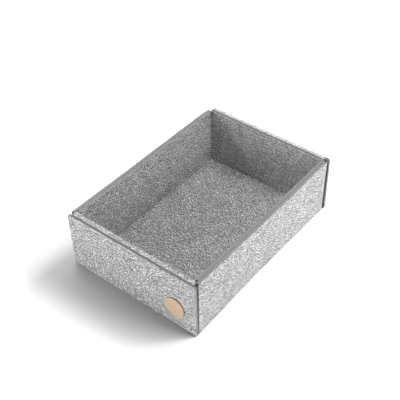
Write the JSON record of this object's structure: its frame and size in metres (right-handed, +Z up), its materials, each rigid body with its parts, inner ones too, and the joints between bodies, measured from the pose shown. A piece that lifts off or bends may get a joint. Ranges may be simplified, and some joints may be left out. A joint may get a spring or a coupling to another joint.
{
  "type": "felt storage tray",
  "caption": "Open rectangular storage tray folded from thick grey felt, with rolled-over ends, separate side liners and a small round badge.",
  "frame": {"origin": "under the middle of the base, on the plane that the tray stands on", "axes": "+Z up out of the open top, +Y along the length towards the rear end, +X to the right; the badge is on the -Y end"},
  "size_m": [0.24, 0.3525, 0.1032],
  "materials": {
    "felt": "mottled light grey pressed felt, matte, with short light and dark fibres; the cut edges are smoother and darker",
    "badge": "bare tan leather, satin, with a darker cut edge"
  },
  "bodies": {
    "root": {"base": "felt", "front_outer_panel": "felt", "front_rim_strip": "felt", "front_inner_panel": "felt", "rear_outer_panel": "felt", "rear_rim_strip": "felt", "rear_inner_panel": "felt", "left_outer_panel": "felt", "left_liner": "felt", "right_outer_panel": "felt", "right_liner": "felt", "badge": "badge"}
  },
  "joints": []
}
